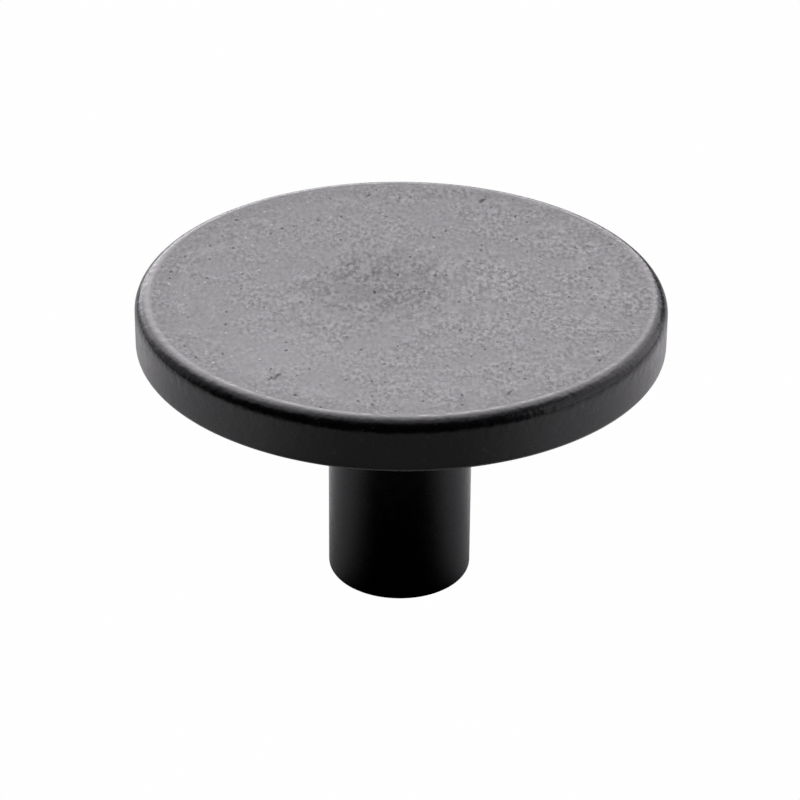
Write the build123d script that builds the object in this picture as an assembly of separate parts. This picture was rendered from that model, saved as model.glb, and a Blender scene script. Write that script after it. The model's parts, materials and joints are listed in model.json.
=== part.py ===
from build123d import *

import os
from math import atan, degrees, radians, tan

# Cabinet knob, cast and turned as one piece: a round, shallow-dished face with a rolled rim,
# on a plain round stem whose foot seats on the door and takes the door screw.
# Millimetres. The origin is the centre of the foot, and +Z runs out through the face.

# Face
FACE_DIAMETER = 40.0
OVERALL_HEIGHT = 24.0  # foot to the crest of the rim
RIM_THICKNESS = 4.0  # underside to the crest of the rim
DISH_DEPTH = 0.5  # how far the middle of the face lies below the crest
RIM_ROUND = 1.0
LOWER_EDGE_ROUND = 0.4

# Stem
STEM_DIAMETER = 11.0
NECK_FILLET = 0.8  # where the stem runs into the underside
FOOT_ROUND = 0.6

# Screw hole: it has the outer diameter of the thread, which is cut after casting
SCREW_DIAMETER = 4.0
HOLE_DEPTH = 13.0  # foot to the end of the full diameter
DRILL_POINT_ANGLE = 118.0
COUNTERSINK_WIDTH = 0.3  # each side of the hole, at the foot
COUNTERSINK_ANGLE = 90.0


def knob_section():
    """Half section of the blank: foot, stem, underside and side, then the rim rolling over into the dish."""
    face_radius = FACE_DIAMETER / 2
    stem_radius = STEM_DIAMETER / 2
    underside = OVERALL_HEIGHT - RIM_THICKNESS
    rim_centre = (face_radius - RIM_ROUND, OVERALL_HEIGHT - RIM_ROUND)
    # The dish is one arc about the axis, and this is its slope where it meets the rim's round
    dish_edge_slope = degrees(2 * atan(DISH_DEPTH / rim_centre[0]))

    with BuildSketch(Plane.XZ) as section:
        with BuildLine():
            outside = FilletPolyline(
                (0, 0),
                (stem_radius, 0),
                (stem_radius, underside),
                (face_radius, underside),
                (face_radius, rim_centre[1]),
                radius=(FOOT_ROUND, NECK_FILLET, LOWER_EDGE_ROUND),
            )
            rim = CenterArc(rim_centre, RIM_ROUND, 0, 90 + dish_edge_slope)
            dish = TangentArc(rim @ 1, (0, OVERALL_HEIGHT - DISH_DEPTH), tangent=rim % 1)
            Line(dish @ 1, outside @ 0)
        make_face()
    return section.sketch


def screw_hole_section():
    """Half section of the blind hole: countersunk mouth, straight wall and the drill's point."""
    hole_radius = SCREW_DIAMETER / 2
    countersink_depth = COUNTERSINK_WIDTH / tan(radians(COUNTERSINK_ANGLE / 2))
    point_depth = hole_radius / tan(radians(DRILL_POINT_ANGLE / 2))

    with BuildSketch(Plane.XZ) as section:
        with BuildLine():
            Polyline(
                (0, 0),
                (hole_radius + COUNTERSINK_WIDTH, 0),
                (hole_radius, countersink_depth),
                (hole_radius, HOLE_DEPTH),
                (0, HOLE_DEPTH + point_depth),
                close=True,
            )
        make_face()
    return section.sketch


def make_knob():
    """The blank, turned about the axis, with the screw hole drilled up the stem."""
    blank = revolve(knob_section(), Axis.Z)
    screw_hole = revolve(screw_hole_section(), Axis.Z)
    return blank - screw_hole


knob = make_knob()
os.makedirs("parts", exist_ok=True)
export_step(knob, "parts/knob.step")
print("knob volume, cubic millimetres:", round(knob.volume, 1))
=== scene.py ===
import json
import math

import bpy
from bpy.props import FloatProperty, FloatVectorProperty, IntProperty, PointerProperty
from bpy.types import Operator, Panel, PropertyGroup
from mathutils import Matrix, Vector


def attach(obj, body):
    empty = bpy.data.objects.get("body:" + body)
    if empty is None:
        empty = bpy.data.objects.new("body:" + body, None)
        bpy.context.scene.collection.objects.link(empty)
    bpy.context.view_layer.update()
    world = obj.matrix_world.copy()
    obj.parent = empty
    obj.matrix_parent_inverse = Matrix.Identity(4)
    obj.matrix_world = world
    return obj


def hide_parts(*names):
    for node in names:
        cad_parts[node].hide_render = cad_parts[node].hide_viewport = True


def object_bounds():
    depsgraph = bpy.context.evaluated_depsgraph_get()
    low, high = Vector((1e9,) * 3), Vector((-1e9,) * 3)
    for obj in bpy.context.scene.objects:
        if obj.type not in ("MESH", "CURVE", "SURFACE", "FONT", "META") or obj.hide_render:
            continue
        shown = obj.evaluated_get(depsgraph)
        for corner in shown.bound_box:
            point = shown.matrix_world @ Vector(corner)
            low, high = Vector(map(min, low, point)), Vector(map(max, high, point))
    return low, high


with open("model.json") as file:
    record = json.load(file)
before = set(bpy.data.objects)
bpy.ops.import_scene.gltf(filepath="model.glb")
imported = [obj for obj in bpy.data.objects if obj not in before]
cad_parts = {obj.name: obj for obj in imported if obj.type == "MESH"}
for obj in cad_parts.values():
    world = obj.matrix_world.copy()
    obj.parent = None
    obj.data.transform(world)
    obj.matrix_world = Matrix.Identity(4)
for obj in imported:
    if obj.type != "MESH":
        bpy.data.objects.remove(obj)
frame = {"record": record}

bl_info = {
    "name": "Cabinet Knob Maker",
    "version": (1, 0, 0),
    "blender": (4, 5, 0),
    "location": "3D View > Sidebar > Knob",
    "description": "Turns a black cabinet knob, taps its screw hole and sets it on a studio table",
    "category": "Object",
}

CAD_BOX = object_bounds()
CAD_SIZE = CAD_BOX[1] - CAD_BOX[0]
SCREW_HOLE = next(m for m in frame["record"]["mounts"] if m["name"] == "screw_hole")
MM = 0.001
WELD = 0.001 * MM  # points that are nearer than this are one
SMOOTH_ANGLE = math.radians(30)


def length(name, description, default):
    return FloatProperty(
        name=name, description=description, default=default, min=0, unit="LENGTH", precision=5
    )


def share(name, description, default):
    return FloatProperty(
        name=name, description=description, default=default, min=0, max=1, subtype="FACTOR"
    )


def angle(name, description, degrees):
    return FloatProperty(
        name=name, description=description, default=math.radians(degrees), subtype="ANGLE"
    )


def colour(name, description, default):
    return FloatVectorProperty(
        name=name, description=description, default=default, min=0, max=1, size=3, subtype="COLOR"
    )


class KnobSizes(PropertyGroup):
    """Sizes of the turned knob"""

    face_diameter: length("Face", "Diameter of the face", round(CAD_SIZE.x, 4))
    overall_height: length("Height", "From the foot to the crest of the rim", round(CAD_SIZE.z, 4))
    rim_thickness: length("Rim Thickness", "From the underside to the crest of the rim", 4 * MM)
    dish_depth: length("Dish Depth", "How far the middle of the face lies below the crest", 0.5 * MM)
    rim_round: length("Rim Round", "Radius of the rolled rim", 1 * MM)
    lower_edge_round: length("Lower Edge Round", "Radius along the rim's lower edge", 0.4 * MM)
    stem_diameter: length("Stem", "Diameter of the stem", 11 * MM)
    neck_fillet: length("Neck Fillet", "Radius where the stem meets the underside", 0.8 * MM)
    foot_round: length("Foot Round", "Radius round the foot", 0.6 * MM)
    hole_diameter: length("Hole", "Diameter of the screw hole", 2 * SCREW_HOLE["dims"]["r_mm"] * MM)
    hole_depth: length("Hole Depth", "From the foot to the end of the full diameter", 13 * MM)
    countersink: length("Countersink", "Width of the countersink at the mouth", 0.3 * MM)
    drill_point: angle("Drill Point", "Angle of the drill's point at the end of the hole", 118)
    unevenness: length("Unevenness", "Depth of the soft waves that the casting left", 0.012 * MM)
    wave_size: length("Wave Size", "Width of those waves", 2.5 * MM)
    segments: IntProperty(name="Segments", description="Faces round the knob", default=256, min=16)


class ThreadSizes(PropertyGroup):
    """Sizes of the thread in the screw hole"""

    pitch: length("Pitch", "Rise of the thread in one turn", 0.7 * MM)
    inner_diameter: length("Inner Diameter", "Diameter between the crests of the thread", 3.242 * MM)
    steps: IntProperty(name="Steps", description="Faces in one turn of the thread", default=48, min=8)


class CoatLook(PropertyGroup):
    """Look of the black coat"""

    coat: colour("Coat", "Colour of the smooth black coat", (0.0034, 0.0024, 0.0038))
    grain_low: colour("Grain Hollows", "Colour in the hollows of the face's grain", (0.0, 0.0, 0.0))
    grain_high: colour("Grain Tips", "Colour on the tips of the face's grain", (0.205, 0.202, 0.206))
    worn: colour("Worn Edge", "Colour of the coat where hands have rubbed it", (0.110, 0.108, 0.111))
    # crest_highlight: a painted highlight on the crest at the sides, over its rubbed colour
    crest_highlight: colour("Pale Crest", "Colour where the crest is rubbed most", (0.205, 0.202, 0.206))
    # lower_edge_highlight: a painted highlight along the rim's lower edge
    lower_edge_highlight: colour("Thin Edge", "Colour of the lower edge, where the coat is thin", (0.22, 0.22, 0.225))
    metal: colour("Bare Metal", "Colour of the cut metal in the thread", (0.30, 0.30, 0.31))
    coat_roughness: share("Coat Roughness", "Roughness of the smooth coat on the side and the stem", 0.27)
    face_roughness: share("Face Roughness", "Roughness of the grained face", 0.34)
    patch_roughness: share("Patch Roughness", "Roughness of the dull patch on the face", 0.47)
    pit_roughness: share("Pit Roughness", "Roughness that the pits add", 0.3)
    crest_roughness: share("Crest Roughness", "Roughness of the rubbed crest of the rim", 0.24)
    grain_size: length("Grain Size", "Width of the face's grains", 0.30 * MM)
    grain_depth: length("Grain Depth", "Depth of the face's grain", 0.05 * MM)
    pit_depth: length("Pit Depth", "Depth of the pits and height of the specks in the face", 0.025 * MM)
    peel_size: length("Peel Size", "Width of the coat's ripples on the rim", 0.65 * MM)
    peel_depth: length("Peel Depth", "Depth of the coat's ripples on the rim", 0.05 * MM)
    dull_radius: length("Dull Patch", "Radius of the dull patch on the face", 5.6 * MM)
    pale_radius: length("Pale Patch", "Radius of the pale patch on the face", 4.5 * MM)


class Studio(PropertyGroup):
    """Table, lights and camera"""

    floor_radius: length("Floor Radius", "Radius of the pale floor", 3.0)
    # The floor's tones are painted shade and light, seen only in what the floor gives the knob: the knob's
    # shadow before and beside the foot, darker in front and behind, paler on the right
    floor_tone: share("Floor Tone", "How much light the floor gives back", 0.92)
    right_light_tone: share("Right Tone", "How much light it gives back on the right", 1.0)
    back_shade_tone: share("Back Tone", "How much light it gives back straight behind the knob", 0.4)
    front_shade_tone: share("Front Tone", "How much light it gives back straight in front of the knob", 0.41)
    near_shadow_tone: share("Near Tone", "How much light it gives back beside the foot", 0.64)
    shade_tone: share("Shade Tone", "How much light it gives back close before the foot", 0.0)
    white: share("White", "Brightness of the floor and the background to the camera", 0.992)
    light_tint: colour("Light Tint", "Colour of the softboxes", (0.985, 0.957, 1.0))
    light_distance: length("Light Distance", "From the knob to each softbox", 0.30)
    light_aim: length("Light Aim", "Height that the softboxes face", 20 * MM)
    aim_height: length("Aim Height", "Height of the camera's aim", 14.72 * MM)
    aim_left: length("Aim Left", "How far the camera's aim lies left of the knob's axis", 0.036 * MM)
    camera_distance: length("Camera Distance", "From the aim to the camera", 251.25 * MM)
    camera_elevation: angle("Camera Elevation", "Height of the camera above the horizon", 29.237)
    camera_roll: angle("Camera Roll", "Turn of the camera about its own axis", 0.457)
    lens: FloatProperty(name="Lens", description="Focal length in millimetres", default=148.03, min=1)


# Modelling by hand


def start_piece(name, **place):
    """A one-millimetre plane, alone selected and in edit mode, ready to be shaped."""
    bpy.ops.object.select_all(action="DESELECT")
    bpy.ops.mesh.primitive_plane_add(size=MM, **place)
    piece = bpy.context.active_object
    piece.name = piece.data.name = name
    bpy.ops.object.transform_apply(location=True, rotation=True, scale=True)
    bpy.ops.object.mode_set(mode="EDIT")
    bpy.ops.mesh.select_all(action="SELECT")
    return piece


def pick(piece, wanted):
    """Selects the vertices that wanted is true for, and leaves the piece in edit mode."""
    bpy.ops.mesh.select_mode(type="VERT")
    bpy.ops.mesh.select_all(action="DESELECT")
    bpy.ops.object.mode_set(mode="OBJECT")
    for vertex in piece.data.vertices:
        vertex.select = wanted(vertex.co)
    bpy.ops.object.mode_set(mode="EDIT")


def extrude(x, z):
    """Draws the next straight run of a profile from the selected vertex."""
    bpy.ops.mesh.extrude_region_move(TRANSFORM_OT_translate={"value": (x, 0, z)})


def near(co, x, z):
    return math.hypot(co.x - x, co.z - z) < WELD


def round_corner(piece, x, z, radius, cuts):
    """Rounds one corner of a profile."""
    pick(piece, lambda co: near(co, x, z))
    bpy.ops.mesh.bevel(
        offset_type="OFFSET", offset=radius, segments=cuts, affect="VERTICES", profile=0.5
    )


def divide_run(piece, start, end, cuts):
    """Divides the straight run of a profile between two of its points."""
    pick(piece, lambda co: near(co, *start) or near(co, *end))
    bpy.ops.mesh.subdivide(number_cuts=cuts)


def apply_modifiers(piece):
    bpy.ops.object.mode_set(mode="OBJECT")
    for modifier in list(piece.modifiers):
        bpy.ops.object.modifier_apply(modifier=modifier.name)


def close_shell():
    """Joins what meets and turns all faces outwards."""
    bpy.ops.mesh.select_all(action="SELECT")
    bpy.ops.mesh.remove_doubles(threshold=WELD)
    bpy.ops.mesh.normals_make_consistent(inside=False)


def hand_over(piece, material):
    """Checks that a finished piece is closed, and gives it its material, body and slot."""
    bpy.ops.object.mode_set(mode="EDIT")
    bpy.ops.mesh.select_mode(type="VERT")
    bpy.ops.mesh.select_all(action="DESELECT")
    bpy.ops.mesh.select_non_manifold()
    bpy.ops.object.mode_set(mode="OBJECT")
    if any(vertex.select for vertex in piece.data.vertices):
        raise RuntimeError(f"{piece.name} is not closed")
    piece.data.materials.clear()
    piece.data.materials.append(material)
    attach(piece, "root")


# Nodes


def add_node(tree, kind, inputs=None, **settings):
    """A new node with its settings, and with a value or a link on each named input."""
    node = tree.nodes.new(kind)
    for name, value in settings.items():
        setattr(node, name, value)
    for name, value in (inputs or {}).items():
        if isinstance(value, bpy.types.NodeSocket):
            tree.links.new(value, node.inputs[name])
        else:
            node.inputs[name].default_value = value
    return node


def maths(tree, operation, *values):
    node = add_node(tree, "ShaderNodeMath", dict(enumerate(values)), operation=operation)
    return node.outputs[0]


def product(tree, first, *others):
    for other in others:
        first = maths(tree, "MULTIPLY", first, other)
    return first


def vector_maths(tree, operation, *values, output="Vector"):
    node = add_node(tree, "ShaderNodeVectorMath", dict(enumerate(values)), operation=operation)
    return node.outputs[output]


def rise(tree, value, low, high, start=0.0, end=1.0):
    """Goes smoothly from start to end as value goes from low to high."""
    node = add_node(
        tree, "ShaderNodeMapRange",
        {"Value": value, "From Min": low, "From Max": high, "To Min": start, "To Max": end},
        interpolation_type="SMOOTHSTEP",
    )
    return node.outputs["Result"]


def rise_at(tree, value, edge, span, start=0.0, end=1.0):
    """Goes smoothly from start to end over a span that is measured from an edge."""
    return rise(tree, value, edge + span[0], edge + span[1], start, end)


def band(tree, value, start, full, fade, end):
    """One between full and fade, and nothing before start and after end."""
    return product(tree, rise(tree, value, start, full), rise(tree, value, fade, end, 1.0, 0.0))


def noise(tree, position, scale, detail=2.0, output="Fac"):
    node = add_node(
        tree, "ShaderNodeTexNoise", {"Vector": position, "Scale": scale, "Detail": detail, "Roughness": 0.5}
    )
    return node.outputs[output]


def mix_values(tree, factor, a, b):
    return add_node(tree, "ShaderNodeMix", {"Factor": factor, "A": a, "B": b}).outputs["Result"]


def mix_colours(tree, factor, a, b):
    a, b = (c if isinstance(c, bpy.types.NodeSocket) else (*c, 1) for c in (a, b))
    node = add_node(tree, "ShaderNodeMix", {"Factor": factor, "A": a, "B": b}, data_type="RGBA")
    return node.outputs["Result"]


def mix_shaders(tree, factor, first, second):
    node = add_node(tree, "ShaderNodeMixShader", {"Fac": factor, 1: first, 2: second})
    return node.outputs["Shader"]


def new_material(name):
    material = bpy.data.materials.new(name)
    material.use_nodes = True
    return material, material.node_tree, material.node_tree.nodes["Principled BSDF"]


# Node groups that the coat and the thread share


def new_group(name, inputs, outputs):
    """An empty shader node group with its named sockets, and its two end nodes."""
    group = bpy.data.node_groups.new(name, "ShaderNodeTree")
    for in_out, sockets in (("INPUT", inputs), ("OUTPUT", outputs)):
        for socket, kind in sockets.items():
            group.interface.new_socket(socket, in_out=in_out, socket_type=f"NodeSocket{kind}")
    return group, group.nodes.new("NodeGroupInput"), group.nodes.new("NodeGroupOutput")


def make_place_group(name):
    """Where a point of the knob lies, in millimetres: also its distance from the axis and its height."""
    group, start, end = new_group(
        name,
        {"Position": "Vector"},
        {
            "Millimetres": "Vector", "Radius": "Float",
            "Rightwards": "Float", "Backwards": "Float", "Height": "Float",
        },
    )
    point = vector_maths(group, "MULTIPLY", start.outputs["Position"], (1 / MM,) * 3)
    across = vector_maths(group, "MULTIPLY", point, (1, 1, 0))
    axes = add_node(group, "ShaderNodeSeparateXYZ", {0: point}).outputs
    places = {
        "Millimetres": point, "Radius": vector_maths(group, "LENGTH", across, output="Value"),
        "Rightwards": axes["X"], "Backwards": axes["Y"], "Height": axes["Z"],
    }
    for socket, value in places.items():
        group.links.new(value, end.inputs[socket])
    return group


# The casting's skin, in millimetres
GRAIN_DRAW = (1, 0.55, 1)  # draws the grain out from front to back
WANDER_SCALE = 3.0  # how finely the outlines of pits and specks wander
WANDER_REACH = (0.3, 0.3, 0)  # and how far
# Spots: cells in a millimetre, the share of cells without one, and the widest one's radius in cells
DOTS = (1.1, 0.5, 0.175)
SCRATCHES = (0.4, 0.70, 0.11)
# The specks are raised in the relief and painted paler on the face as glints
GLINT_SPECKS = (1.5, 0.35, 0.19)
SPOT_EDGE = 0.9  # share of the widest radius over which a spot fades in
SCRATCH_TURN = (0, 0, 0.8)  # in radians
SCRATCH_STRETCH = (2.2, 0.8, 1)
GLINT_SPECK_SHIFT = (7.3, 3.1, 0)  # gives the specks other places than the pits
PATCH_SCALE = 0.35  # the coarser patches of the skin
PATCH_SPAN = (0.35, 0.62)


def scatter(tree, position, scale, bare, reach):
    """Scattered round spots of many sizes, highest in the middle."""
    cells = add_node(
        tree, "ShaderNodeTexVoronoi", {"Vector": position, "Scale": scale}, voronoi_dimensions="2D"
    ).outputs
    size = add_node(tree, "ShaderNodeSeparateColor", {0: cells["Color"]}).outputs[0]
    inside = maths(tree, "SUBTRACT", rise(tree, size, bare, 1.0, 0.0, reach), cells["Distance"])
    return rise(tree, inside, 0.0, SPOT_EDGE * reach)


def make_grain_group(name):
    """The casting's skin: fine grain, scattered pits and specks, the specks also painted paler on the face as
    glints, and patches where it is coarser.
    """
    group, start, end = new_group(
        name,
        {"Position": "Vector", "Grains per Millimetre": "Float"},
        {"Grain": "Float", "Pits": "Float", "Glinting Specks": "Float", "Patches": "Float"},
    )
    position, scale = start.outputs["Position"], start.outputs["Grains per Millimetre"]
    drawn = vector_maths(group, "MULTIPLY", position, GRAIN_DRAW)
    wander = noise(group, drawn, WANDER_SCALE, output="Color")
    ragged = vector_maths(group, "MULTIPLY_ADD", wander, WANDER_REACH, drawn)
    slanted = add_node(
        group, "ShaderNodeMapping",
        {"Vector": ragged, "Rotation": SCRATCH_TURN, "Scale": SCRATCH_STRETCH}, vector_type="TEXTURE",
    ).outputs["Vector"]
    shifted = vector_maths(group, "ADD", ragged, GLINT_SPECK_SHIFT)
    skin = {
        "Grain": noise(group, drawn, scale),
        "Pits": maths(
            group, "MAXIMUM", scatter(group, ragged, *DOTS), scatter(group, slanted, *SCRATCHES)
        ),
        "Glinting Specks": scatter(group, shifted, *GLINT_SPECKS),
        "Patches": rise(group, noise(group, position, PATCH_SCALE, detail=3.0), *PATCH_SPAN),
    }
    for socket, value in skin.items():
        group.links.new(value, end.inputs[socket])
    return group


SHARED_GROUPS = {"place_on_knob": make_place_group, "cast_grain": make_grain_group}


def use_group(tree, name, inputs):
    """Places a shared node group in a tree, makes it where it is new, and returns its outputs."""
    group = bpy.data.node_groups.get(name) or SHARED_GROUPS[name](name)
    return add_node(tree, "ShaderNodeGroup", inputs, node_tree=group).outputs


def find_place(tree):
    """Where the surface lies on the knob: the outputs of the shared group."""
    position = add_node(tree, "ShaderNodeTexCoord").outputs["Object"]
    return use_group(tree, "place_on_knob", {"Position": position})


# The coat. All places are in millimetres, x to the right of the axis and y behind it.

COAT_IOR = 1.5
# Where the finishes and the painted highlights change, from the edge that each is measured from
TOP_SPAN = (-0.3, 0.3)  # from the height where the rim's round begins
RIPPLE_SPAN = (-1.2, 0.1)  # from the same height
LEAST_RIPPLE = 0.3  # share of the ripples that is left below that span
DISC_SPAN = (-0.2, 0.0)  # from the underside
# Painted highlight along the rim's lower edge: its heights and its span
LOWER_EDGE_HIGHLIGHT_HEIGHTS = (-0.02, 0.03, 0.16, 0.38)  # from the underside
LOWER_EDGE_HIGHLIGHT_SPAN = (-0.35, -0.2)  # from the outer edge
CREST_START = (-0.35, -0.05)  # from the crest of the rim
CREST_END = (0.1, 0.45)  # from the crest
RING_SPAN = (-2.5, -0.9)  # from the crest
# Rubbing of the crest: further in at the front and on the right, with a painted highlight at the sides,
# stronger on the left than on the right
RUBBED_FRONT_X = (10.0, 16.0)
RUBBED_FRONT_IN = 0.15
RUBBED_RIGHT_X = (-16.0, -4.0)
RUBBED_RIGHT_IN = 0.17
# Painted highlight on the crest at the sides, stronger on the left and fading towards the back
CREST_HIGHLIGHT_X = (8.0, 17.0)
CREST_HIGHLIGHT_Y = (3.0, 10.0)
CREST_HIGHLIGHT_LEFT_TO_RIGHT = (-8.0, 8.0)
CREST_HIGHLIGHT_LEFT, CREST_HIGHLIGHT_RIGHT = 1.0, 0.5
# Patches of the face: their middles, how far their edges wander, and where they start and end
DULL_PATCH = (-2.0, 1.8)
PALE_PATCH = (-9.0, -9.5)
PATCH_WANDER = 5.0
PATCH_WANDER_SCALE = 0.25
PATCH_EDGE = (0.2, 1.6)  # shares of the radius
# Strength of the grain over the face
GRAIN_LEAST, GRAIN_PATCHY, GRAIN_DULL = 0.42, 0.75, 0.17
GRAIN_X = (-14.0, 6.0)
GRAIN_LEFT, GRAIN_RIGHT = 0.62, 0.88
GRAIN_Y = (-9.0, -3.0, 3.0, 9.0)
GRAIN_OUTSIDE, GRAIN_MIDDLE = 0.9, 1.12
PIT_WEIGHT = 1.15  # pits against specks
# Tones of the face, as shares of the step from the hollows' colour to the tips' colour
TIP_SPAN = (0.265, 0.745)  # heights of the grain that have the one and the other
# The specks' share of the marks' tone is painted glints
MARK_AND_GLINT_TONE, PALE_TONE, RING_TONE = 0.5, 0.12, 0.12  # what marks and the pale patch add, and the ring takes
# Pale flecks on the side
FLECK_SCALE = 2.6
FLECK_SPAN = (0.62, 0.74)
FLECK_TONE = 0.3
# How far the roughness of the smooth coat varies, and how finely
MOTTLING = 0.16
MOTTLING_SCALE = 0.9


def find_finishes(tree, place, sizes):
    """Masks of the parts of the knob that are finished differently, and of the painted highlights along the
    lower edge and on the crest at the sides.
    """
    radius, height = place["Radius"], place["Height"]
    x, y = place["Rightwards"], place["Backwards"]
    outer_edge = sizes.face_diameter / 2 / MM
    crest = outer_edge - sizes.rim_round / MM
    shoulder = (sizes.overall_height - sizes.rim_round) / MM
    underside = (sizes.overall_height - sizes.rim_thickness) / MM

    on_top = rise_at(tree, height, shoulder, TOP_SPAN)
    on_disc = rise_at(tree, height, underside, DISC_SPAN)
    beside = maths(tree, "ABSOLUTE", x)
    rubbed_from = maths(tree, "ADD", radius, rise(tree, beside, *RUBBED_FRONT_X, RUBBED_FRONT_IN, 0.0))
    rubbed_to = maths(tree, "ADD", radius, rise(tree, x, *RUBBED_RIGHT_X, 0.0, RUBBED_RIGHT_IN))
    highlight_side = rise(tree, x, *CREST_HIGHLIGHT_LEFT_TO_RIGHT, CREST_HIGHLIGHT_LEFT, CREST_HIGHLIGHT_RIGHT)
    return {
        "disc": on_disc,
        "face": product(tree, on_top, rise_at(tree, radius, crest, CREST_START, 1.0, 0.0)),
        "face_ring": rise_at(tree, radius, crest, RING_SPAN),
        "rubbed_crest": product(
            tree, on_top, rise_at(tree, rubbed_from, crest, CREST_START),
            rise_at(tree, rubbed_to, crest, CREST_END, 1.0, 0.0),
        ),
        # Painted highlight on the crest at the sides
        "painted_crest_highlight": product(
            tree, rise(tree, beside, *CREST_HIGHLIGHT_X, 0.0, highlight_side),
            rise(tree, y, *CREST_HIGHLIGHT_Y, 1.0, 0.0),
        ),
        # Painted highlight along the lower edge of the rim
        "lower_edge_highlight": product(
            tree, rise_at(tree, radius, outer_edge, LOWER_EDGE_HIGHLIGHT_SPAN),
            band(tree, height, *(underside + above for above in LOWER_EDGE_HIGHLIGHT_HEIGHTS)),
        ),
        "rippled": product(tree, rise_at(tree, height, shoulder, RIPPLE_SPAN, LEAST_RIPPLE, 1.0), on_disc),
    }


def find_patch(tree, point, middle, radius):
    """One in a round patch of the face, with a wandering, soft edge."""
    offset = vector_maths(tree, "SUBTRACT", point, (*middle, 0))
    flat = vector_maths(tree, "MULTIPLY", offset, (1, 1, 0))
    distance = vector_maths(tree, "LENGTH", flat, output="Value")
    wander = noise(tree, point, PATCH_WANDER_SCALE, detail=3.0)
    wander = maths(tree, "MULTIPLY_ADD", wander, PATCH_WANDER, -PATCH_WANDER / 2)
    start, end = (edge * radius / MM for edge in PATCH_EDGE)
    return rise(tree, maths(tree, "ADD", distance, wander), start, end, 1.0, 0.0)


def find_skin(tree, place, look):
    """The face's grain, pits and marks, its two patches, and the grain's strength from place to place."""
    point = place["Millimetres"]
    grain = use_group(
        tree, "cast_grain", {"Position": point, "Grains per Millimetre": MM / look.grain_size}
    )
    dull = find_patch(tree, point, DULL_PATCH, look.dull_radius)
    patchy = maths(tree, "MULTIPLY_ADD", grain["Patches"], GRAIN_PATCHY, GRAIN_LEAST)
    middle = band(tree, place["Backwards"], *GRAIN_Y)
    return {
        "grain": grain["Grain"],
        "pits": grain["Pits"],
        "marks": maths(tree, "MULTIPLY_ADD", grain["Pits"], -PIT_WEIGHT, grain["Glinting Specks"]),
        "dull": dull,
        "pale": find_patch(tree, point, PALE_PATCH, look.pale_radius),
        "strength": product(
            tree, maths(tree, "MULTIPLY_ADD", dull, GRAIN_DULL, patchy),
            rise(tree, place["Rightwards"], *GRAIN_X, GRAIN_LEFT, GRAIN_RIGHT),
            rise(tree, middle, 0.0, 1.0, GRAIN_OUTSIDE, GRAIN_MIDDLE),
        ),
    }


def make_relief(tree, place, finish, skin, look):
    """Grain and marks in the face, and ripples on the rim."""
    marks = product(tree, skin["marks"], look.pit_depth / look.grain_depth)
    grained = maths(tree, "MULTIPLY_ADD", skin["grain"], skin["strength"], marks)
    ripples = noise(tree, place["Millimetres"], MM / look.peel_size, detail=1.0)
    peel = product(tree, ripples, look.peel_depth / look.grain_depth, finish["rippled"])
    relief = mix_values(tree, finish["face"], peel, grained)
    bump = add_node(tree, "ShaderNodeBump", {"Height": relief, "Distance": look.grain_depth, "Strength": 1.0})
    return bump.outputs["Normal"]


def make_roughness(tree, place, finish, skin, look):
    """Satin on the side and the stem, duller on the face, and polished along the rubbed crest."""
    mottling = noise(tree, place["Millimetres"], MOTTLING_SCALE, detail=4.0)
    smooth = maths(tree, "MULTIPLY_ADD", mottling, MOTTLING, look.coat_roughness - MOTTLING / 2)
    grained = rise(tree, skin["dull"], 0.0, 1.0, look.face_roughness, look.patch_roughness)
    grained = maths(tree, "MULTIPLY_ADD", skin["pits"], look.pit_roughness, grained)
    coated = mix_values(tree, finish["face"], smooth, grained)
    return mix_values(tree, finish["rubbed_crest"], coated, look.crest_roughness)


def make_tint(tree, place, finish, skin, look):
    """Black on the side and the stem, grey grain with painted glints on the face, paler where the coat is
    rubbed, and with painted highlights along the lower edge and on the crest at the sides.
    """
    around_mean = maths(tree, "SUBTRACT", skin["grain"], 0.5)
    contrast = maths(tree, "MULTIPLY_ADD", around_mean, skin["strength"], 0.5)
    # Painted glints: the specks make the face's colour paler
    tone = maths(tree, "MULTIPLY_ADD", skin["marks"], MARK_AND_GLINT_TONE, rise(tree, contrast, *TIP_SPAN))
    tone = maths(tree, "MULTIPLY_ADD", skin["pale"], PALE_TONE, tone)
    tone = maths(tree, "MULTIPLY_ADD", finish["face_ring"], -RING_TONE, tone)
    face_colour = mix_colours(tree, tone, look.grain_low, look.grain_high)
    flecks = rise(tree, noise(tree, place["Millimetres"], FLECK_SCALE), *FLECK_SPAN)
    side_colour = mix_colours(tree, product(tree, flecks, finish["disc"], FLECK_TONE), look.coat, look.worn)
    # Painted highlight along the lower edge
    with_edge_highlight = mix_colours(tree, finish["lower_edge_highlight"], side_colour, look.lower_edge_highlight)
    surface = mix_colours(tree, finish["face"], with_edge_highlight, face_colour)
    # Worn crest, with its painted highlight at the sides
    worn_and_lit_crest = mix_colours(tree, finish["painted_crest_highlight"], look.worn, look.crest_highlight)
    return mix_colours(tree, finish["rubbed_crest"], surface, worn_and_lit_crest)


def make_coat(look, sizes):
    """Satin black coat: grained on the face, rippled on the rim, smooth on the stem, rubbed on the crest,
    with painted highlights on the crest's sides and along the lower edge and painted glints on the face's
    specks.
    """
    material, tree, shader = new_material("satin_black_coat")
    place = find_place(tree)
    finish = find_finishes(tree, place, sizes)
    skin = find_skin(tree, place, look)
    for socket, make in (("Base Color", make_tint), ("Roughness", make_roughness), ("Normal", make_relief)):
        tree.links.new(make(tree, place, finish, skin, look), shader.inputs[socket])
    shader.inputs["IOR"].default_value = COAT_IOR
    return material


THREAD_GRAINS = 9.0  # in a millimetre
THREAD_GRAIN_SPAN = (0.2, 0.8)
THREAD_ROUGHNESS = (0.3, 0.5)


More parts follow.
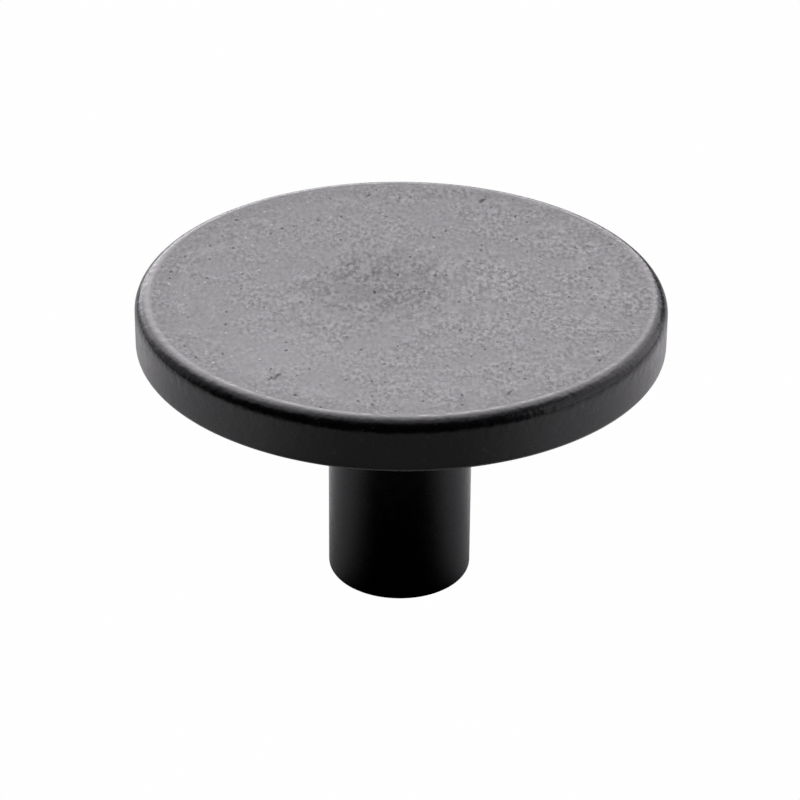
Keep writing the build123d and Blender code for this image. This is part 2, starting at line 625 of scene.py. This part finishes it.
def make_thread_metal(look):
    """Cut metal in the screw hole, a little grained."""
    material, tree, shader = new_material("cut_thread_metal")
    point = find_place(tree)["Millimetres"]
    grain = use_group(tree, "cast_grain", {"Position": point, "Grains per Millimetre": THREAD_GRAINS})
    shader.inputs["Base Color"].default_value = (*look.metal, 1)
    shader.inputs["Metallic"].default_value = 1.0
    roughness = rise(tree, grain["Grain"], *THREAD_GRAIN_SPAN, *THREAD_ROUGHNESS)
    tree.links.new(roughness, shader.inputs["Roughness"])
    return material


# The knob

# Cuts along the parts of the half profile
DISH_CUTS = 32
RIM_CUTS = 18
ROUND_CUTS = 8
SIDE_CUTS = 5
UNDERSIDE_CUTS = 17
STEM_CUTS = 29
HOLE_CUTS = 11


def draw_profile(knob, sizes):
    """Draws the half profile from the middle of the dish, over the rim and the foot, to the drill's point."""
    face, stem, hole = sizes.face_diameter / 2, sizes.stem_diameter / 2, sizes.hole_diameter / 2
    underside = sizes.overall_height - sizes.rim_thickness
    shoulder = sizes.overall_height - sizes.rim_round
    crest = face - sizes.rim_round
    dish_slope = 2 * math.atan(sizes.dish_depth / crest)
    dish_radius = (crest - sizes.rim_round * math.sin(dish_slope)) / math.sin(dish_slope)
    middle = sizes.overall_height - sizes.dish_depth
    sink = sizes.countersink

    bpy.ops.mesh.merge(type="CENTER")
    bpy.ops.transform.translate(value=(0, 0, middle))
    bpy.ops.mesh.spin(
        steps=DISH_CUTS, angle=dish_slope, center=(0, 0, middle + dish_radius), axis=(0, 1, 0)
    )
    bpy.ops.mesh.spin(
        steps=RIM_CUTS, angle=math.pi / 2 + dish_slope, center=(crest, 0, shoulder), axis=(0, -1, 0)
    )
    extrude(0, sizes.rim_round - sizes.rim_thickness)
    extrude(stem - face, 0)
    extrude(0, -underside)
    extrude(hole + sink - stem, 0)
    extrude(-sink, sink)
    extrude(0, sizes.hole_depth - sink)
    extrude(-hole, hole / math.tan(sizes.drill_point / 2))
    round_corner(knob, face, underside, sizes.lower_edge_round, ROUND_CUTS)
    round_corner(knob, stem, underside, sizes.neck_fillet, ROUND_CUTS)
    round_corner(knob, stem, 0, sizes.foot_round, ROUND_CUTS)
    divide_run(knob, (face, shoulder), (face, underside + sizes.lower_edge_round), SIDE_CUTS)
    divide_run(
        knob, (face - sizes.lower_edge_round, underside), (stem + sizes.neck_fillet, underside),
        UNDERSIDE_CUTS,
    )
    divide_run(knob, (stem, underside - sizes.neck_fillet), (stem, sizes.foot_round), STEM_CUTS)
    divide_run(knob, (hole, sink), (hole, sizes.hole_depth), HOLE_CUTS)


def add_casting_waves(knob, sizes):
    """Sinks soft waves into the disc, by no more than its unevenness."""
    neck = sizes.overall_height - sizes.rim_thickness - sizes.neck_fillet
    pick(knob, lambda co: co.z > neck)
    bpy.ops.object.vertex_group_add()
    bpy.ops.object.vertex_group_assign()
    bpy.ops.object.mode_set(mode="OBJECT")
    waves = knob.modifiers.new("casting_waves", "DISPLACE")
    waves.texture = bpy.data.textures.new("casting_waves", "CLOUDS")
    waves.texture.noise_scale = sizes.wave_size
    waves.texture_coords = "LOCAL"
    waves.vertex_group = knob.vertex_groups.active.name
    waves.mid_level = 0.0
    waves.strength = -sizes.unevenness


class KNOB_OT_turn(Operator):
    """Turn the knob from its half profile and give it its black coat"""

    bl_idname = "knob.turn"
    bl_label = "Turn the Knob"

    def execute(self, context):
        sizes = context.scene.knob_sizes
        knob = start_piece("turned_knob")
        draw_profile(knob, sizes)
        bpy.ops.mesh.select_all(action="SELECT")
        bpy.ops.mesh.spin(steps=sizes.segments, angle=2 * math.pi, center=(0, 0, 0), axis=(0, 0, 1))
        close_shell()
        add_casting_waves(knob, sizes)
        bpy.ops.object.shade_smooth_by_angle(angle=SMOOTH_ANGLE)
        evened = knob.modifiers.new("even_normals", "WEIGHTED_NORMAL")
        evened.keep_sharp = True
        apply_modifiers(knob)
        hand_over(knob, make_coat(context.scene.knob_look, sizes))
        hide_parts("knob")
        return {"FINISHED"}


# The thread

# Shares of the pitch that the ridge takes up at the wall and at its crest
THREAD_ROOT = 7 / 8
THREAD_CREST = 1 / 4
THREAD_SEAT = 0.03 * MM  # how far the ridge reaches into the wall
CUTTER_SIDES = 96
CUTTER_BELOW = 1 * MM  # how far the countersink's cutter reaches below the foot


def wind_ridge(thread, sizes, thread_sizes):
    """Shapes the ridge's section and winds it up the hole."""
    outer = sizes.hole_diameter / 2 + THREAD_SEAT
    inner = thread_sizes.inner_diameter / 2
    middle = (outer + inner) / 2
    root = thread_sizes.pitch * THREAD_ROOT
    start = sizes.countersink

    bpy.ops.transform.resize(value=((outer - inner) / MM, 1, root / MM), center_override=(0, 0, 0))
    bpy.ops.transform.translate(value=(middle, 0, start))
    bpy.ops.mesh.delete(type="ONLY_FACE")
    pick(thread, lambda co: co.x < middle)
    bpy.ops.transform.resize(value=(1, 1, THREAD_CREST / THREAD_ROOT), center_override=(0, 0, start))
    bpy.ops.object.mode_set(mode="OBJECT")
    winding = thread.modifiers.new("winding", "SCREW")
    winding.axis = "Z"
    winding.screw_offset = thread_sizes.pitch
    winding.iterations = int((sizes.hole_depth - start - root) / thread_sizes.pitch)
    winding.steps = winding.render_steps = thread_sizes.steps
    apply_modifiers(thread)
    bpy.ops.object.mode_set(mode="EDIT")
    bpy.ops.mesh.select_all(action="SELECT")
    bpy.ops.mesh.fill_holes(sides=4)
    close_shell()
    bpy.ops.object.mode_set(mode="OBJECT")


def countersink(thread, sizes):
    """Cuts the ridge back to the countersink at the mouth of the hole."""
    mouth = sizes.hole_diameter / 2 + sizes.countersink
    reach = mouth + CUTTER_BELOW
    bpy.ops.object.select_all(action="DESELECT")
    bpy.ops.mesh.primitive_cone_add(
        vertices=CUTTER_SIDES, radius1=reach, radius2=0, depth=reach,
        location=(0, 0, (mouth - CUTTER_BELOW) / 2),
    )
    cutter = bpy.context.active_object
    bpy.ops.object.select_all(action="DESELECT")
    thread.select_set(True)
    bpy.context.view_layer.objects.active = thread
    cut = thread.modifiers.new("countersink", "BOOLEAN")
    cut.operation, cut.solver, cut.object = "DIFFERENCE", "EXACT", cutter
    apply_modifiers(thread)
    bpy.data.objects.remove(cutter)


class KNOB_OT_tap(Operator):
    """Tap the screw hole: one ridge wound up the hole, countersunk at the mouth"""

    bl_idname = "knob.tap"
    bl_label = "Tap the Screw Hole"

    def execute(self, context):
        scene = context.scene
        thread = start_piece("screw_thread", rotation=(math.pi / 2, 0, 0))
        wind_ridge(thread, scene.knob_sizes, scene.knob_thread)
        countersink(thread, scene.knob_sizes)
        bpy.ops.object.shade_smooth_by_angle(angle=SMOOTH_ANGLE)
        hand_over(thread, make_thread_metal(scene.knob_look))
        return {"FINISHED"}


# The stage

# Softboxes: name, azimuth from the back to the right, elevation, width and height in degrees, radiance
SOFTBOXES = (
    ("back", -5, 32, 54, 32, 2.5),
    ("back_low_left", -19, 9.5, 34, 13, 4.5),
    ("back_low_right", 9, 12, 22, 9, 4.5),
    ("back_upper", 0, 60, 90, 24, 2.33),
    ("top", 0, 84, 60, 24, 0.67),
    ("overhead", 180, 80, 60, 16, 0.37),
    ("left_middle", -44, 33, 24, 34, 2.35),
    ("left_low", -48, 9.5, 24, 13, 1.0),
    ("left_back", -72, 26, 32, 48, 0.33),
    ("left_upper", -75, 60, 60, 24, 0.85),
    ("right_middle", 32, 33, 20, 34, 1.94),
    ("right_back", 56, 26, 28, 48, 1.5),
    ("right_low", 95, 10, 50, 20, 0.95),
    ("right_side", 95, 33, 50, 26, 0.76),
    ("right_upper", 75, 60, 60, 24, 0.27),
    ("under", 0, -90, 50, 50, 1.0),
)
# A softbox narrows with its height, as a segment of a globe does, but near the poles no further than this
POLAR = 70
POLAR_WIDTH = 0.6


def add_softbox(name, centre, aim, width, height, radiance, tint):
    """A plain rectangular light at centre, facing aim, as bright all over as radiance says."""
    data = bpy.data.lights.new(name, "AREA")
    data.shape = "RECTANGLE"
    data.size, data.size_y = width, height
    data.energy = radiance * math.pi * width * height
    data.color = tint
    light = bpy.data.objects.new(name, data)
    bpy.context.scene.collection.objects.link(light)
    light.location = centre
    light.rotation_mode = "QUATERNION"
    light.rotation_quaternion = (aim - centre).to_track_quat("-Z", "Y")
    light.visible_camera = False


def hang_softboxes(studio):
    """Hangs the softboxes round the knob, each facing it."""
    aim = Vector((0, 0, studio.light_aim))
    for name, azimuth, elevation, width, height, radiance in SOFTBOXES:
        turn, lift = math.radians(azimuth), math.radians(elevation)
        level = math.cos(lift)
        away = Vector((level * math.sin(turn), level * math.cos(turn), math.sin(lift)))
        narrowing = max(level, POLAR_WIDTH) if abs(elevation) > POLAR else level
        add_softbox(
            f"{name}_softbox", aim + away * studio.light_distance, aim,
            2 * studio.light_distance * math.tan(math.radians(width / 2)) * narrowing,
            2 * studio.light_distance * math.tan(math.radians(height / 2)),
            radiance, studio.light_tint,
        )


FLOOR_GAP = 0.02 * MM
FLOOR_SIDES = 96
# The floor's tones, painted shade and painted light: where the floor near the foot ends, and the directions
# in which they change, ahead from -1 behind the knob to 1 in front of it, and aside from -1 on the left to 1
# on the right
NEAR_FLOOR = (22 * MM, 55 * MM)
NEAR_BEHIND = (-0.9, -0.3)
NEAR_AHEAD = (0.25, 0.9)
FAR_ASIDE = (-0.1, 0.7)
FAR_BEHIND = (-0.95, -0.5)
FAR_AHEAD = (0.5, 1.0)


def find_floor_tone(tree, studio):
    """How much light each place of the floor gives back: painted shade, darker in front, behind and near the
    foot, where the knob's shadow is painted in, and paler on the right.
    """
    position = add_node(tree, "ShaderNodeTexCoord").outputs["Object"]
    distance = vector_maths(tree, "LENGTH", position, output="Value")
    direction = vector_maths(tree, "NORMALIZE", position)
    ahead = vector_maths(tree, "DOT_PRODUCT", direction, (0, -1, 0), output="Value")
    aside = vector_maths(tree, "DOT_PRODUCT", direction, (1, 0, 0), output="Value")
    # Painted shadow of the knob close before and beside the foot
    near_shadow_tone = rise(tree, ahead, *NEAR_BEHIND, studio.floor_tone, studio.near_shadow_tone)
    near_shadow_tone = rise(tree, ahead, *NEAR_AHEAD, near_shadow_tone, studio.shade_tone)
    # Painted shade in front and behind, and painted light on the right
    far_tone = rise(tree, aside, *FAR_ASIDE, studio.floor_tone, studio.right_light_tone)
    far_tone = rise(tree, ahead, *FAR_BEHIND, studio.back_shade_tone, far_tone)
    far_tone = rise(tree, ahead, *FAR_AHEAD, far_tone, studio.front_shade_tone)
    return mix_values(tree, rise(tree, distance, *NEAR_FLOOR), near_shadow_tone, far_tone)


def make_table_white(studio):
    """Plain white to the camera, a pale table with painted shade in the light that it gives the knob, and
    clear from below.
    """
    material = bpy.data.materials.new("table_white")
    material.use_nodes = True
    tree = material.node_tree
    tree.nodes.clear()
    tone = find_floor_tone(tree, studio)
    grey = add_node(tree, "ShaderNodeCombineColor", {0: tone, 1: tone, 2: tone}).outputs["Color"]
    lit = add_node(tree, "ShaderNodeBsdfDiffuse", {"Color": grey}).outputs["BSDF"]
    white = {"Color": (1, 1, 1, 1), "Strength": studio.white}
    seen = add_node(tree, "ShaderNodeEmission", white).outputs["Emission"]
    clear = add_node(tree, "ShaderNodeBsdfTransparent").outputs["BSDF"]
    from_camera = add_node(tree, "ShaderNodeLightPath").outputs["Is Camera Ray"]
    from_below = add_node(tree, "ShaderNodeNewGeometry").outputs["Backfacing"]
    table = mix_shaders(tree, from_below, mix_shaders(tree, from_camera, lit, seen), clear)
    add_node(tree, "ShaderNodeOutputMaterial", {"Surface": table})
    return material


def lay_floor(studio, opening):
    """Lays the round floor just under the foot, which covers an opening for the light from below."""
    bpy.ops.object.select_all(action="DESELECT")
    bpy.ops.mesh.primitive_circle_add(
        vertices=FLOOR_SIDES, radius=studio.floor_radius, fill_type="NGON",
        location=(0, 0, CAD_BOX[0].z - FLOOR_GAP),
    )
    floor = bpy.context.active_object
    floor.name = floor.data.name = "floor"
    bpy.ops.object.mode_set(mode="EDIT")
    bpy.ops.mesh.select_mode(type="FACE")
    bpy.ops.mesh.select_all(action="SELECT")
    bpy.ops.mesh.inset(thickness=studio.floor_radius * math.cos(math.pi / FLOOR_SIDES) - opening)
    bpy.ops.mesh.delete(type="FACE")
    bpy.ops.object.mode_set(mode="OBJECT")
    floor.data.materials.append(make_table_white(studio))


ROOM_LIGHT = 0.005


def make_background(studio):
    """A background that is white to the camera and gives almost no light."""
    world = bpy.data.worlds.new("studio_background")
    world.use_nodes = True
    tree = world.node_tree
    tree.nodes.clear()
    seen, room = (
        add_node(tree, "ShaderNodeBackground", {"Color": (1, 1, 1, 1), "Strength": strength})
        for strength in (studio.white, ROOM_LIGHT)
    )
    from_camera = add_node(tree, "ShaderNodeLightPath").outputs["Is Camera Ray"]
    both = mix_shaders(tree, from_camera, room.outputs["Background"], seen.outputs["Background"])
    add_node(tree, "ShaderNodeOutputWorld", {"Surface": both})
    return world


SENSOR_WIDTH = 36
CLIP_START, CLIP_END = 0.01, 20


def place_camera(studio):
    """Places the camera at the photograph's angle and distance."""
    data = bpy.data.cameras.new("camera")
    data.lens = studio.lens
    data.sensor_width = SENSOR_WIDTH
    data.clip_start, data.clip_end = CLIP_START, CLIP_END
    camera = bpy.data.objects.new("camera", data)
    bpy.context.scene.collection.objects.link(camera)
    elevation = studio.camera_elevation
    aim = Vector((-studio.aim_left, 0, studio.aim_height))
    back = Vector((0, -math.cos(elevation), math.sin(elevation)))
    camera.matrix_world = (
        Matrix.Translation(aim + back * studio.camera_distance)
        @ Matrix.Rotation(math.pi / 2 - elevation, 4, "X")
        @ Matrix.Rotation(studio.camera_roll, 4, "Z")
    )
    return camera


class KNOB_OT_stage(Operator):
    """Set the table, the lights and the camera"""

    bl_idname = "knob.stage"
    bl_label = "Set the Stage"

    def execute(self, context):
        scene = context.scene
        sizes = scene.knob_sizes
        lay_floor(scene.knob_studio, sizes.stem_diameter / 2 - sizes.foot_round)
        hang_softboxes(scene.knob_studio)
        scene.world = make_background(scene.knob_studio)
        scene.camera = place_camera(scene.knob_studio)
        scene.view_settings.view_transform = "Standard"
        return {"FINISHED"}


# The add-on

SETTINGS = {
    "knob_sizes": KnobSizes,
    "knob_thread": ThreadSizes,
    "knob_look": CoatLook,
    "knob_studio": Studio,
}
MAKERS = {
    KNOB_OT_turn: ("knob_sizes", "knob_look"),
    KNOB_OT_tap: ("knob_thread",),
    KNOB_OT_stage: ("knob_studio",),
}


class KNOB_PT_maker(Panel):
    """Sizes, look and studio of the knob"""

    bl_idname = "KNOB_PT_maker"
    bl_label = "Cabinet Knob"
    bl_space_type = "VIEW_3D"
    bl_region_type = "UI"
    bl_category = "Knob"

    def draw(self, context):
        for operator, names in MAKERS.items():
            box = self.layout.box()
            box.operator(operator.bl_idname)
            for name in names:
                settings = getattr(context.scene, name)
                for prop in SETTINGS[name].__annotations__:
                    box.prop(settings, prop)


CLASSES = (*SETTINGS.values(), *MAKERS, KNOB_PT_maker)


def register():
    for cls in CLASSES:
        bpy.utils.register_class(cls)
    for name, settings in SETTINGS.items():
        setattr(bpy.types.Scene, name, PointerProperty(type=settings))


def unregister():
    for name in SETTINGS:
        delattr(bpy.types.Scene, name)
    for cls in reversed(CLASSES):
        bpy.utils.unregister_class(cls)


def main():
    register()
    bpy.ops.knob.turn()
    bpy.ops.knob.tap()
    bpy.ops.knob.stage()


if __name__ == "__main__":
    main()
